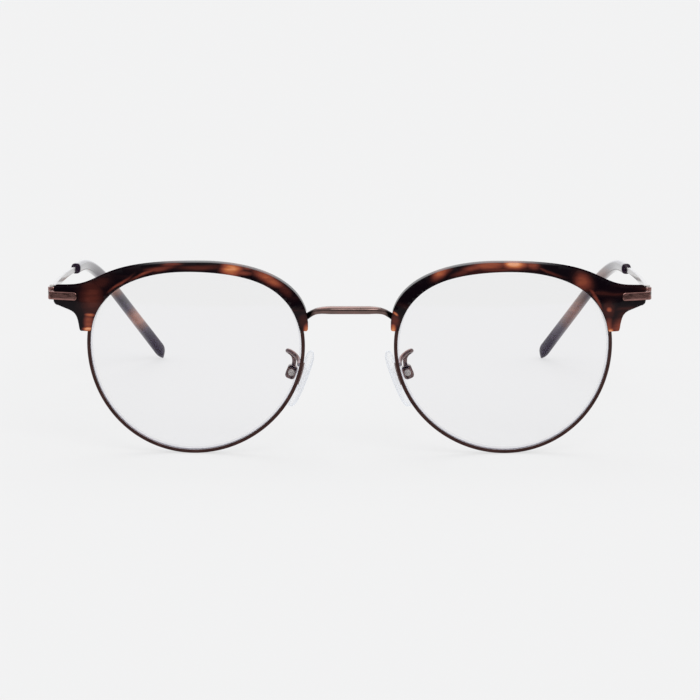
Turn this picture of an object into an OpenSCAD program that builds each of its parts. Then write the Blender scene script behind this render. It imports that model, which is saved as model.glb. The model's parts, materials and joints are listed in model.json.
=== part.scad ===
// Browline spectacles: a full metal eyewire carrying an acetate browline, with metal end pieces,
// metal temples with acetate tips, and screw-in nose pads.
// Millimetres. X is the width, Z is up, and the wearer looks along -Y. +X is the wearer's left.
// The frame stands open on the rims' lowest points and the two temple tips, at z = 0.

/* [Lenses] */
// Distance of each lens's drawing centre from the middle of the frame
eye_x = 36; // [34:0.1:40]
// Radius of the round lower part of the lens outline
lens_round_r = 24.65; // [22:0.05:27]
// Height of the flat brow line above the drawing centre
lens_top_h = 20; // [18:0.1:22]
// Slope of the brow line, falling towards the temple
lens_top_tilt = -2; // [-6:0.5:4]
// How tightly the brow line turns into the round part
lens_blend = 3.5; // [2.5:0.1:6]
// Swell of the three softened corners
lens_swell = 0.2; // [0:0.05:0.5]
// Direction of the first of those corners
lens_swell_at = 56; // [30:1:90]
// Thickness of a lens
lens_t = 1.8; // [1.2:0.1:2.6]
// Radius of the lens curve, which the whole front follows
base_r = 132.5; // [100:0.5:180]
// How far each eye turns towards its temple, in degrees
face_form = 5; // [0:0.5:8]

/* [Eyewire] */
// Width of the rim seen from the front
rim_w = 0.84; // [0.6:0.02:1.2]
// Depth of the rim from front to back
rim_d = 2.0; // [1.6:0.1:2.6]
// Depth of the lens groove
groove_h = 0.4; // [0.2:0.05:0.6]
// Width of the lens groove
groove_w = 0.9; // [0.5:0.1:1.2]
// Angle on the outline where the rim is split for its closing screw
rim_split_at = 11; // [8:0.5:16]

/* [Browline] */
// Height of the browline's top edge above the table
brow_top = 45.3; // [43:0.1:48]
// Distance of the browline's inner ends from the middle of the frame
brow_inner_x = 9.6; // [8.5:0.1:10.5]
// Distance of the lugs' ends from the middle of the frame
lug_end_x = 69.1; // [67:0.1:72]
// Height of the lugs' top edge
lug_top = 38.9; // [37:0.1:40]
// Acetate in front of the middle of the lens edge
brow_front = 2.3; // [1.8:0.1:3]
// Acetate behind the middle of the lens edge
brow_back = 1.4; // [1:0.1:2]
// Direction on the lens outline where the inner legs end, in degrees
leg_nasal_at = 171; // [168:0.5:174]
// Direction on the lens outline where the outer legs end, in degrees
leg_temporal_at = 7.5; // [3:0.5:8]
// How far the browline laps over the lens's edge
brow_lap = 0.25; // [0:0.05:0.4]

/* [Bridge and pads] */
// Height of the bridge bar's centre line
bridge_z = 34.2; // [32:0.1:36]
// Height of the bridge bar's section
bridge_h = 1.8; // [1.4:0.1:2.4]
// Depth of the bridge bar's section
bridge_d = 1.7; // [1.2:0.1:2.2]
// Length of a nose pad
pad_len = 14; // [11:0.5:16]
// Width of a nose pad
pad_w = 7; // [6:0.5:9]
// Thickness of a nose pad
pad_t = 2; // [1.6:0.1:3]
// Lean of a nose pad, top towards the nose, in degrees
pad_lean = 22; // [14:1:24]
// Splay of a nose pad, front edge towards the nose, in degrees
pad_splay = 6; // [4:1:14]

/* [End pieces and hinges] */
// Length of the metal bar let into each lug
plaque_l = 6.6; // [5:0.1:8]
// Height of that bar
plaque_h = 1.9; // [1.8:0.1:2.6]
// Distance of the hinge axis from the middle of the frame
hinge_x = 69.6; // [69:0.1:70.4]
// Distance of the hinge axis behind the lens centres
hinge_y = 10; // [9.6:0.1:11]
// Height of the middle of the hinge
hinge_z = 36.7; // [36.2:0.1:37.2]
// Radius of the hinge knuckles
knuckle_r = 1.2; // [1.1:0.05:1.4]
// Radius of the hinge screw's shank
hinge_pin_r = 0.6; // [0.5:0.05:0.7]

/* [Temples] */
// Distance from the hinge axis to the front end of the acetate tip
temple_bare_l = 65; // [60:1:72]
// How far a temple bows outwards between its hinge and its tip
temple_bow = 1.1; // [0.4:0.1:2]
// Height of a tip's front end
tip_start_z = 33.5; // [32:0.1:34]
// Where the tip starts to turn down, behind the lens centres
bend_y = 94; // [88:1:100]
// Distance of a tip's end from the middle of the frame
tip_end_x = 51.7; // [48:0.1:58]
// Distance of a tip's end behind the lens centres
tip_end_y = 140; // [128:0.5:144]
// Thickness of a tip
tip_t = 2.4; // [2:0.1:3.2]
// Height of a tip where it meets the metal
tip_h0 = 2.6; // [2.2:0.1:3.2]
// Height of a tip at its paddle
tip_h1 = 3.4; // [3:0.1:5]

/* [Hidden] */
$fn = 64;

// Colours of the real finishes
tortoise = [0.22, 0.10, 0.07];
dark_metal = [0.27, 0.20, 0.18];
rose_metal = [0.53, 0.41, 0.38];
steel = [0.62, 0.60, 0.58];
lens_clear = [0.86, 0.89, 0.93, 0.35];
pad_clear = [0.90, 0.92, 0.95, 0.6];

// General shapes

function unit(v) = v / norm(v);
function mix(a, b, t) = a + (b - a) * t;

// A point on a cubic Bezier curve in the plane or in space
function bezier(p, t) =
    pow(1 - t, 3) * p[0] + 3 * pow(1 - t, 2) * t * p[1] + 3 * (1 - t) * t * t * p[2] + pow(t, 3) * p[3];
function bezier_run(p, n) = [for (i = [1:n]) bezier(p, i / n)];
function arc(centre, r, from, to, n) =
    [for (i = [0:n]) let (a = mix(from, to, i / n)) centre + r * [cos(a), sin(a)]];

// A closed outline, listed counter-clockwise, moved outwards by d at every point
function grown(outline, d) = let (n = len(outline))
    [for (i = [0:n - 1])
        let (along = unit(outline[(i + 1) % n] - outline[(i + n - 1) % n]))
        outline[i] + d * [along[1], -along[0]]];

// A rounded oval section; a square-shouldered one has a larger power
function oval(w, h, power, n) =
    [for (i = [0:n - 1])
        let (a = 360 * i / n, c = cos(a), s = sin(a))
        [w / 2 * sign(c) * pow(abs(c), 2 / power), h / 2 * sign(s) * pow(abs(s), 2 / power)]];

// Directions along a path of points
function tangents(path) = let (last = len(path) - 1)
    [for (i = [0:last]) unit(path[min(i + 1, last)] - path[max(i - 1, 0)])];

// One ring of a sweep: the section's first axis lies across the path, its second one upwards
function ring(centre, along, up, section) =
    let (across = unit(cross(along, up)), rise = cross(across, along))
    [for (q = section) centre + q[0] * across + q[1] * rise];

// Rings skinned into one closed solid
module skin(rings) {
    n = len(rings[0]);
    m = len(rings);
    sides = [for (i = [0:m - 2], j = [0:n - 1])
        let (a = i * n + j, b = i * n + (j + 1) % n)
        each [[a, b + n, a + n], [a, b, b + n]]];
    ends = [[for (j = [n - 1:-1:0]) j], [for (j = [0:n - 1]) (m - 1) * n + j]];
    polyhedron([for (r = rings) each r], concat(sides, ends), convexity = 8);
}

// The lens outline in the front view, x towards the temple

function lens_reach(a) =
    pow(pow(lens_round_r, -lens_blend) + pow(max(cos(a - 90 - lens_top_tilt), 0) / lens_top_h, lens_blend),
        -1 / lens_blend) + lens_swell * cos(3 * (a - lens_swell_at));
lens_steps = 90;
lens_shape = [for (i = [0:lens_steps - 1])
    let (a = 360 * i / lens_steps) lens_reach(a) * [cos(a), sin(a)]];
lens_low = min([for (p = grown(lens_shape, rim_w)) p[1]]);
eye = [eye_x, -lens_low];
lens_outline = [for (p = lens_shape) eye + p];
function on_lens(a, out = 0) =
    let (p = lens_reach(a) * [cos(a), sin(a)],
        ahead = unit(lens_reach(a + 1) * [cos(a + 1), sin(a + 1)] - p))
    eye + p + out * [ahead[1], -ahead[0]];

// The curved sheet that the front follows: each eye lies on a ball of the lens's base curve

ball = [eye_x - base_r * sin(face_form), base_r * cos(face_form), eye[1]];
function sheet_y(x, z) = ball[1] - sqrt(base_r * base_r - pow(x - ball[0], 2) - pow(z - ball[2], 2));
function on_sheet(p, depth = 0) = [p[0], sheet_y(p[0], p[1]) + depth, p[1]];

// A flat outline stretched from front to back, far enough to cross the sheet
module through(outline) {
    translate([0, 30, 0]) rotate([90, 0, 0]) linear_extrude(45) polygon(outline);
}

// Everything behind the sheet at a given depth
module behind(depth) {
    translate(ball + [0, depth, 0]) sphere(r = base_r, $fn = 200);
}

// An outline cut as a slice of the sheet, between two depths
module slice(outline, front, back) {
    difference() {
        intersection() {
            through(outline);
            behind(front);
        }
        behind(back);
    }
}

// The browline's outline: inner leg, top edge, lug, outer leg, then back along the lens

lug_r = 0.7;
lug_low_r = 1.1;
lug_low = 34.5;
leg_outer_x = 62.9;
brow_crown_x = 34;
leg_nasal = on_lens(leg_nasal_at);
leg_temporal = on_lens(leg_temporal_at);
leg_nasal_r = 0.5;
leg_temporal_r = 0.3;
// A leg's square-cut end with rounded corners, drawn from one side of the leg to the other
function foot(from, to, r, n) = let (low = min(from[1], to[1]))
    concat(arc([from[0] + r, low + r], r, 180, 270, n), arc([to[0] - r, low + r], r, 270, 360, n));
function brow_edge(a) = on_lens(a, -brow_lap * min(1, (leg_nasal_at - a) / 20, (a - leg_temporal_at) / 20));
brow_outline = concat(
    [for (a = [leg_nasal_at:-3:leg_temporal_at]) brow_edge(a)],
    foot(leg_temporal, [leg_outer_x, leg_temporal[1]], leg_temporal_r, 3),
    bezier_run([[leg_outer_x, leg_temporal[1]], [63.5, 33.7], [64.2, 33], [68, lug_low]], 10),
    arc([lug_end_x - lug_low_r, lug_low + lug_low_r], lug_low_r, -80, 0, 4),
    arc([lug_end_x - lug_r, lug_top - lug_r], lug_r, 0, 90, 4),
    bezier_run([[67, lug_top], [56.9, lug_top], [60.3, brow_top], [brow_crown_x, brow_top]], 18),
    bezier_run([[brow_crown_x, brow_top], [20.3, brow_top], [brow_inner_x, 40.1], [brow_inner_x, 30.8]], 14),
    foot([brow_inner_x, leg_nasal[1]], leg_nasal, leg_nasal_r, 3)
);

// Places on the front

// A spot on the rim: local X points outwards, local Z along the rim, local Y backwards
function rim_turn(a) = let (d = on_lens(a, 1) - on_lens(a)) atan2(d[1], d[0]);
module at_rim(a, out = 0, depth = 0) {
    translate(on_sheet(on_lens(a, out), depth)) rotate([0, -rim_turn(a), 0]) children();
}

// A spot on the sheet with local Y square to it, pointing backwards
module square_to_sheet(p, depth = 0) {
    n = (on_sheet(p) - ball) / base_r;
    translate(on_sheet(p, depth)) rotate([asin(-n[2]), 0, atan2(n[0], -n[1])]) children();
}

// A round bar along local Y
module bar_y(r, from, to) {
    translate([0, from, 0]) rotate([-90, 0, 0]) cylinder(r = r, h = to - from);
}

// Screws in the front: the browline's screw near the bridge, and two behind each lug's metal bar
fit = 0.03;
screw_r = 0.5;
head_h = 0.4;
head_slot_w = 0.22;
brow_screw_at = 155;
brow_screw_spot = on_lens(brow_screw_at, 1.75);
brow_head_r = 0.75;
tab_r = 0.85;
tab_t = 0.5;
tab_foot = 2.3;
split_gap = 0.2;
plaque_x = hinge_x + 0.6 - plaque_l;
plaque_t = 0.85;
plaque_proud = 0.35;
plaque_screw_spots = [[plaque_x + 1.5, hinge_z], [plaque_x + 3.7, hinge_z]];
seat_y = hinge_y - 1.7;

// Eyewire: a grooved ring round the lens, split at the closing block, with a tab for the browline
module rim() {
    tab = concat([on_lens(brow_screw_at - tab_foot, 0.1)],
        arc(brow_screw_spot, tab_r, rim_turn(brow_screw_at) - 90, rim_turn(brow_screw_at) + 90, 8),
        [on_lens(brow_screw_at + tab_foot, 0.1)]);
    riser = [for (q = [[-1, 0.1], [-1, rim_w], [1, rim_w], [1, 0.1]])
        on_lens(brow_screw_at + q[0] * tab_foot, q[1])];
    color(dark_metal) {
        difference() {
            slice(grown(lens_outline, rim_w), -rim_d / 2, rim_d / 2);
            through(lens_outline);
            slice(grown(lens_outline, groove_h), -groove_w / 2, groove_w / 2);
            at_rim(rim_split_at) cube([4, 6, split_gap], center = true);
        }
        difference() {
            union() {
                slice(riser, rim_d / 2, brow_back + fit + tab_t);
                slice(tab, brow_back + fit, brow_back + fit + tab_t);
            }
            square_to_sheet(brow_screw_spot) bar_y(screw_r + fit, -1, 4);
        }
    }
}

// Lens: a curved pane whose edge ridge sits in the rim's groove
module lens() {
    play = 0.05;
    color(lens_clear) union() {
        slice(grown(lens_outline, -play), -lens_t / 2, lens_t / 2);
        slice(grown(lens_outline, groove_h - play), play - groove_w / 2, groove_w / 2 - play);
    }
}

// Closing block: two half barrels brazed to the rim's ends, drawn together by one screw
lock_out = 0.75;
lock_r = 0.7;
lock_half = 1.25;
lock_pin_r = 0.38;
lock_head_r = 0.62;
lock_head_h = 0.35;
pocket_front = -0.95;
pocket_low = -2.6;
pocket_high = 2.2;
pocket_out = 1.65;
module rim_lock() {
    color(dark_metal) difference() {
        at_rim(rim_split_at, rim_w) {
            translate([lock_out, 0, -lock_half]) cylinder(r = lock_r, h = 2 * lock_half);
            translate([-0.1, -lock_r, -lock_half]) cube([lock_out + 0.1, 2 * lock_r, 2 * lock_half]);
        }
        through(grown(lens_outline, rim_w));
        at_rim(rim_split_at, rim_w) {
            translate([lock_out, 0, -2]) cylinder(r = lock_pin_r + 0.02, h = 4);
            cube([6, 6, split_gap], center = true);
        }
    }
}

module rim_lock_screw() {
    color(steel) at_rim(rim_split_at, rim_w) translate([lock_out, 0, 0]) difference() {
        union() {
            translate([0, 0, -lock_half]) cylinder(r = lock_pin_r, h = 2 * lock_half);
            translate([0, 0, -lock_half - lock_head_h]) cylinder(r = lock_head_r, h = lock_head_h);
        }
        translate([-1, -0.1, -lock_half - 0.5]) cube([2, 0.2, 0.3]);
    }
}

// Browline: acetate in front of and above the rim, channelled behind for it
module brow() {
    color(tortoise) difference() {
        slice(brow_outline, -brow_front, brow_back);
        intersection() {
            union() {
                through(grown(lens_outline, rim_w + fit));
                through(bridge_slot);
            }
            behind(-rim_d / 2 - fit);
        }
        slice(grown(plaque_outline(0), fit), -brow_front - 1, -brow_front + plaque_t - plaque_proud + fit);
        at_rim(rim_split_at, rim_w) translate([-0.5, pocket_front, pocket_low])
            cube([pocket_out + 0.5, 6, pocket_high - pocket_low]);
        translate([lug_end_x - 6, seat_y, hinge_z - 6]) cube([10, 6, 10]);
        square_to_sheet(brow_screw_spot) bar_y(screw_r + fit, -1.1, 4);
        for (p = plaque_screw_spots) square_to_sheet(p) bar_y(screw_r + fit, -3, 4);
    }
}

// A slotted cheese-headed screw along local Y, its head's seat at y = seat
module back_screw(tip, seat, head_r) {
    difference() {
        union() {
            bar_y(screw_r, tip, seat);
            bar_y(head_r, seat, seat + head_h);
        }
        translate([-1, seat + head_h / 2, -head_slot_w / 2]) cube([2, 1, head_slot_w]);
    }
}

module brow_screw() {
    color(steel) square_to_sheet(brow_screw_spot) back_screw(-1, brow_back + tab_t + 2 * fit, brow_head_r);
}

module endpiece_screws() {
    color(steel) for (p = plaque_screw_spots) square_to_sheet(p) back_screw(-2.2, brow_back + 2 * fit, 0.85);
}

// Bridge: a bar from rim to rim, level in the middle and drawn down and back at its ends

bridge_y = -0.9;
bridge_half = concat(
    [for (x = [0, 2.5]) [x, bridge_y, bridge_z]],
    bezier_run([[4.4, bridge_y, bridge_z], [7.6, bridge_y, bridge_z], [8.6, 0.4, bridge_z - 0.2],
        [11.7, 0.9, bridge_z - 3.4]], 10)
);
bridge_path = concat(
    [for (i = [len(bridge_half) - 1:-1:1]) let (p = bridge_half[i]) [-p[0], p[1], p[2]]],
    bridge_half);
bridge_section = [for (q = [[1, 0.15], [0.75, 0.8], [-0.2, 1], [-0.85, 0.75], [-1, 0],
    [-0.85, -0.75], [-0.2, -1], [0.75, -0.85]]) [q[0] * bridge_d / 2, q[1] * bridge_h / 2]];
bridge_flat = [for (p = bridge_half) [p[0], p[2]]];
bridge_slot_from = 6;
bridge_slot_half = bridge_h / 2 + 0.2;
function beside_bridge(i, d) = let (t = unit(bridge_flat[i] - bridge_flat[i - 1]))
    bridge_flat[i] + d * [-t[1], t[0]];
bridge_slot = let (last = len(bridge_flat) - 1)
    concat([for (i = [bridge_slot_from:last]) beside_bridge(i, -bridge_slot_half)],
        [for (i = [last:-1:bridge_slot_from]) beside_bridge(i, bridge_slot_half)]);
module bridge_bar() {
    along = tangents(bridge_path);
    color(rose_metal) difference() {
        skin([for (i = [0:len(bridge_path) - 1]) ring(bridge_path[i], along[i], [0, 0, 1], bridge_section)]);
        for (side = [-1, 1]) placed(side) through(grown(lens_outline, rim_w));
    }
}

// End piece: a bar let into the lug's front, wrapped round its end to two hinge knuckles

knuckle_h = 0.9;
hinge_gap = 0.06;
hinge_play = 0.05;
hinge_half = 1.5 * knuckle_h + hinge_gap;
hinge_head_r = 0.82;
hinge_head_h = 0.42;
arm_x = [lug_end_x + 0.05, hinge_x + 0.6];
function plaque_outline(extra) = let (h = plaque_h / 2, bow = 0.3)
    concat([[plaque_x, hinge_z - h + bow], [plaque_x + bow, hinge_z - h], [arm_x[1] + extra, hinge_z - h],
        [arm_x[1] + extra, hinge_z + h], [plaque_x + bow, hinge_z + h], [plaque_x, hinge_z + h - bow]]);
module knuckle(low, high, bore) {
    translate([hinge_x, hinge_y, hinge_z]) difference() {
        union() {
            translate([0, 0, low]) cylinder(r = knuckle_r, h = high - low);
            children();
        }
        translate([0, 0, low - 2]) cylinder(r = bore, h = high - low + 4);
    }
}
module endpiece() {
    arm_front = sheet_y(arm_x[0], hinge_z) - brow_front;
    color(rose_metal) {
        difference() {
            union() {
                slice(plaque_outline(0), -brow_front - plaque_proud, -brow_front + plaque_t - plaque_proud);
                translate([arm_x[0], arm_front + 0.2, hinge_z - plaque_h / 2])
                    cube([arm_x[1] - arm_x[0], hinge_y - knuckle_r - 0.1 - arm_front - 0.2, plaque_h]);
            }
            for (p = plaque_screw_spots) square_to_sheet(p) bar_y(screw_r + fit, -2.25, 2);
        }
        for (side = [-1, 1]) {
            low = side > 0 ? hinge_half - knuckle_h : -hinge_half;
            knuckle(low, low + knuckle_h, hinge_pin_r + fit)
                translate([arm_x[0] - hinge_x, -knuckle_r - 0.3, max(low, -plaque_h / 2)])
                    cube([arm_x[1] - arm_x[0], knuckle_r + 0.3, plaque_h / 2 - hinge_half + knuckle_h]);
        }
    }
}

module hinge_screw() {
    color(steel) translate([hinge_x, hinge_y, hinge_z]) difference() {
        union() {
            translate([0, 0, -hinge_half]) cylinder(r = hinge_pin_r, h = 2 * hinge_half);
            translate([0, 0, hinge_half]) cylinder(r = hinge_head_r, h = hinge_head_h);
        }
        translate([-1, -0.12, hinge_half + 0.2]) cube([2, 0.24, 1]);
    }
}

// Temple and tip: a flat metal side that tapers into a core, which the acetate tip slides over

strip_t = 0.9;
strip_x = hinge_x + 0.1;
tip_start = [strip_x, hinge_y + temple_bare_l, tip_start_z];
slope = (hinge_z - tip_start_z) / temple_bare_l;
knee = [strip_x - 1.9, bend_y + 6, tip_start_z - slope * (bend_y + 6 - tip_start[1])];
end_l = 3;
end_drop = 1.2;
function tip_path(end_z) = let (end = [tip_end_x, tip_end_y, end_z],
        before = mix(knee, tip_start, 0.7), after = mix(knee, end, 0.36))
    concat([tip_start, mix(tip_start, before, 0.04), mix(tip_start, before, 0.5)],
        bezier_run([before, mix(before, knee, 0.7), mix(after, knee, 0.7), after], 8),
        [for (t = [0.2, 0.4, 0.6, 0.75, 0.87, 0.93, 0.97, 1]) mix(after, end, t)]);
function tip_rings(end_z) = let (path = tip_path(end_z), along = tangents(path), last = len(path) - 1)
    [for (i = [0:last])
        let (s = i / last, grow = pow(s, 0.8), left = norm(path[last] - path[i]),
            round_off = left < end_l ? sqrt(1 - pow(1 - left / end_l, 2) * 0.93) : 1,
            start = i == 0 ? 0.86 : 1)
        ring(path[i] - [0, 0, end_drop * (1 - round_off)], along[i], [0, 0, 1],
            oval(tip_t * round_off * start, mix(tip_h0, tip_h1, grow) * round_off * start, 2.6, 16))];
function lowest(rings) = min([for (r = rings, p = r) p[2]]);
tip_try = 3 - lowest(tip_rings(3));
tip_end_z = tip_try - lowest(tip_rings(tip_try));
tip_line = tip_path(tip_end_z);
module core(w, h, until) {
    along = tangents(tip_line);
    skin([for (i = [0:len(tip_line) - until]) ring(tip_line[i], along[i], [0, 0, 1], oval(w, h, 2, 8))]);
}
module temple() {
    front_y = hinge_y + knuckle_r + 0.1;
    rear_y = tip_start[1] + 0.3;
    rear_half = 0.65;
    bow_r = pow(rear_y - front_y, 2) / (8 * temple_bow) + temple_bow / 2;
    color(dark_metal) {
        intersection() {
            translate([strip_x + temple_bow - bow_r, (front_y + rear_y) / 2, 0]) difference() {
                cylinder(r = bow_r + strip_t / 2, h = 60, $fn = 900);
                translate([0, 0, -1]) cylinder(r = bow_r - strip_t / 2, h = 62, $fn = 900);
            }
            translate([strip_x - 5, 0, 0]) rotate([90, 0, 90]) linear_extrude(10)
                polygon([[front_y, hinge_z - plaque_h / 2], [rear_y, tip_start_z - rear_half],
                    [rear_y, tip_start_z + rear_half], [front_y, hinge_z + plaque_h / 2]]);
        }
        knuckle(-knuckle_h / 2, knuckle_h / 2, hinge_pin_r + hinge_play)
            translate([strip_x - hinge_x - strip_t / 2, 0, -knuckle_h / 2])
                cube([strip_t, knuckle_r + 0.5, knuckle_h]);
        core(0.8, 1, 4);
    }
}
module tip() {
    color(tortoise) difference() {
        skin(tip_rings(tip_end_z));
        core(0.86, 1.06, 4);
        translate([strip_x - strip_t / 2 - fit, tip_start[1] - 1, tip_start_z - 0.7])
            cube([strip_t + 2 * fit, 1.35, 1.4]);
    }
}

// Nose pads: a looped arm brazed behind the rim holds a box, in which the pad's tab rocks on a screw

pad_axis = [13.65, 8.6, 18.2];
foot_from = 189;
foot_to = 201;
box_w = 2.4;
box_h = 3.2;
box_d = 2.4;
tab_w = 1.1;
pad_screw_r = 0.4;
core_r = 0.8;
core_t = 0.5;
core_w = 3.6;
core_l = 6;
pad_head_r = 0.78;
pad_head_h = 0.35;
wire_d = 1;
pad_out = 2.8;
pad_drop = 0.7;
module at_pad_axis() {
    translate(pad_axis) rotate([0, -pad_lean, 0]) children();
}
// A rounded plate across local Y
module ear(w, h, r, from, to) {
    translate([0, to, 0]) rotate([90, 0, 0]) linear_extrude(to - from) union() {
        square([w - 2 * r, h], center = true);
        square([w, h - 2 * r], center = true);
        for (x = [-1, 1], z = [-1, 1]) translate([x * (w / 2 - r), z * (h / 2 - r)]) circle(r);
    }
}
module pad_arm() {
    wire = concat([[11.75, 1.6, 21]],
        bezier_run([[11.75, 1.6, 21], [11.6, 3.2, 21.6], [12, 4.2, 22.3], [13, 5.2, 23]], 6),
        bezier_run([[13, 5.2, 23], [14, 6.2, 23.7], [15.1, 7, 23.7], [14.2, 7.9, 23]], 7),
        bezier_run([[14.2, 7.9, 23], [13.4, 8.6, 22.4], [12.7, 8.8, 21.6], pad_axis + [-0.5, 0, 1.5]], 7));
    along = tangents(wire);
    foot = concat([for (a = [foot_from:3:foot_to]) on_lens(a, 1.1)],
        [for (a = [foot_to:-3:foot_from]) on_lens(a, 0.1)]);
    color(rose_metal) {
        slice(foot, rim_d / 2, rim_d / 2 + 0.8);
        skin([for (i = [0:len(wire) - 1])
            ring(wire[i], along[i], [1, -1, 0.3], oval(wire_d, wire_d, 2, 10))]);
        at_pad_axis() difference() {
            ear(box_w, box_h, 0.8, -box_d / 2, box_d / 2);
            translate([-box_w / 2 - 1, -tab_w / 2, -box_h]) cube([box_w + 0.7, tab_w, box_h + 1.02]);
            bar_y(pad_screw_r + fit, -3, 3);
        }
    }
}
module pad_screw() {
    color(steel) at_pad_axis() difference() {
        union() {
            bar_y(pad_screw_r, -box_d / 2, box_d / 2);
            bar_y(pad_head_r, -box_d / 2 - pad_head_h, -box_d / 2);
        }
        translate([-1, -box_d / 2 - 1, -0.1]) cube([2, 0.85, 0.2]);
    }
}
// The pad's stiff core: a plate inside the silicone and a tab that stands out behind it
module core_solid(grow = 0) {
    translate([-pad_out, 0, -pad_drop]) rotate([0, 0, -pad_splay])
        cube([core_t + 2 * grow, core_w + 2 * grow, core_l + 2 * grow], center = true);
    translate([-pad_out - 0.1, -0.5 - grow, -core_r - grow])
        cube([pad_out + 0.1, 1 + 2 * grow, 2 * (core_r + grow)]);
}
module pad_core() {
    color(steel) at_pad_axis() difference() {
        union() {
            core_solid();
            bar_y(core_r, -0.5, 0.5);
        }
        bar_y(pad_screw_r + 0.06, -3, 3);
    }
}
function pad_ring(s) = let (
        w = max(pad_w * pow(1 - pow(abs(s), 3.6), 0.5) * (1 - 0.1 * s), 1.6),
        t = max(pad_t * pow(1 - pow(abs(s), 8), 0.5), 0.9),
        bow = 0.35 * (s * s - 0.5))
    [for (q = oval(t, w, 2.4, 16)) [q[0] + bow, q[1], s * pad_len / 2]];
module nose_pad() {
    color(pad_clear) at_pad_axis() difference() {
        translate([-pad_out, 0, -pad_drop]) rotate([0, 0, -pad_splay])
            skin([for (s = [-1, -0.97, -0.88, -0.7, -0.45, -0.15, 0.15, 0.45, 0.7, 0.88, 0.97, 1])
                pad_ring(s)]);
        core_solid(0.01);
    }
}

// The frame's own origin: on the table, in the middle of its width and depth
front_y = min([for (p = brow_outline) sheet_y(p[0], p[1])]) - brow_front;
rear_y = max([for (r = tip_rings(tip_end_z), p = r) p[1]]);
module placed_frame(side) {
    translate([0, -(front_y + rear_y) / 2, 0]) placed(side) children();
}
module placed(side) {
    if (side > 0) children();
    else mirror([1, 0, 0]) children();
}

module brow_left() placed_frame(1) brow();
module brow_right() placed_frame(-1) brow();
module rim_left() placed_frame(1) rim();
module rim_right() placed_frame(-1) rim();
module lens_left() placed_frame(1) lens();
module lens_right() placed_frame(-1) lens();
module bridge() placed_frame(1) bridge_bar();
module rim_lock_left() placed_frame(1) rim_lock();
module rim_lock_right() placed_frame(-1) rim_lock();
module rim_lock_screw_left() placed_frame(1) rim_lock_screw();
module rim_lock_screw_right() placed_frame(-1) rim_lock_screw();
module brow_screw_left() placed_frame(1) brow_screw();
module brow_screw_right() placed_frame(-1) brow_screw();
module endpiece_left() placed_frame(1) endpiece();
module endpiece_right() placed_frame(-1) endpiece();
module endpiece_screws_left() placed_frame(1) endpiece_screws();
module endpiece_screws_right() placed_frame(-1) endpiece_screws();
module hinge_screw_left() placed_frame(1) hinge_screw();
module hinge_screw_right() placed_frame(-1) hinge_screw();
module temple_left() placed_frame(1) temple();
module temple_right() placed_frame(-1) temple();
module tip_left() placed_frame(1) tip();
module tip_right() placed_frame(-1) tip();
module pad_arm_left() placed_frame(1) pad_arm();
module pad_arm_right() placed_frame(-1) pad_arm();
module pad_screw_left() placed_frame(1) pad_screw();
module pad_screw_right() placed_frame(-1) pad_screw();
module pad_core_left() placed_frame(1) pad_core();
module pad_core_right() placed_frame(-1) pad_core();
module nose_pad_left() placed_frame(1) nose_pad();
module nose_pad_right() placed_frame(-1) nose_pad();

brow_left();
brow_right();
rim_left();
rim_right();
lens_left();
lens_right();
bridge();
rim_lock_left();
rim_lock_right();
rim_lock_screw_left();
rim_lock_screw_right();
brow_screw_left();
brow_screw_right();
endpiece_left();
endpiece_right();
endpiece_screws_left();
endpiece_screws_right();
hinge_screw_left();
hinge_screw_right();
temple_left();
temple_right();
tip_left();
tip_right();
pad_arm_left();
pad_arm_right();
pad_screw_left();
pad_screw_right();
pad_core_left();
pad_core_right();
nose_pad_left();
nose_pad_right();
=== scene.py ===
import json
import math

import bmesh
import bpy
from mathutils import Matrix, Vector


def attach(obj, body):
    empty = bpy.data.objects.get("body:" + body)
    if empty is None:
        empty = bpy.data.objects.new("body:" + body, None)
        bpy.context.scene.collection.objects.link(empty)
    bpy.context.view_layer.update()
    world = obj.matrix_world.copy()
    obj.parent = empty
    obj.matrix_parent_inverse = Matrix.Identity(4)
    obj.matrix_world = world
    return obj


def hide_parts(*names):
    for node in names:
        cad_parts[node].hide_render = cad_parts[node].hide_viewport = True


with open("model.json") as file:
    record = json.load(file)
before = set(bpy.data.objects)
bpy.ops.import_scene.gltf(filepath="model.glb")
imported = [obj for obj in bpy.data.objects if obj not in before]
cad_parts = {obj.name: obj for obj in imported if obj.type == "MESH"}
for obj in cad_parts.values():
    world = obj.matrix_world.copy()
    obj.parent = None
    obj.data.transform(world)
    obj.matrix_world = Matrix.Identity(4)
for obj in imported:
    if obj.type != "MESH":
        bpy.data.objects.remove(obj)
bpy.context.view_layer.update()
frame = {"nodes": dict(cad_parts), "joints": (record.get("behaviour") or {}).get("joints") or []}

# The camera
# It stands a little above the glasses and looks down at their front from a hair to one side, through
# a long lens. The picture is square.

mm = 0.001
picture_size = 700
focal_pixels = 3487.17
camera_spot = (4.2, -800, 153.4)
camera_down = 9.138
camera_aside = 0.291
hinge_back = 10.0
table_shift = frame["joints"][0]["pos_m"][1] / mm - hinge_back


def placed(x, y, z):
    """A spot in the maker's drawing, in millimetres with y from the lens centres, in the shared frame."""
    return Vector((x, y + table_shift, z)) * mm


camera = bpy.data.objects.new("camera", bpy.data.cameras.new("camera"))
bpy.context.scene.collection.objects.link(camera)
camera.location = placed(*camera_spot)
camera.rotation_euler = (math.radians(90 - camera_down), 0, math.radians(camera_aside))
camera.data.sensor_width = 36
camera.data.lens = camera.data.sensor_width * focal_pixels / picture_size
camera.data.clip_start = 0.01
camera.data.clip_end = 20
bpy.context.scene.camera = camera
bpy.context.scene.view_settings.view_transform = "Standard"

# The table and the sky
# A white table top runs out of the picture on every side. The room is light overhead, brighter behind
# the table and dark low down in front. One wide soft lamp shines from above and behind, and a
# stronger one from above and in front.


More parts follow.
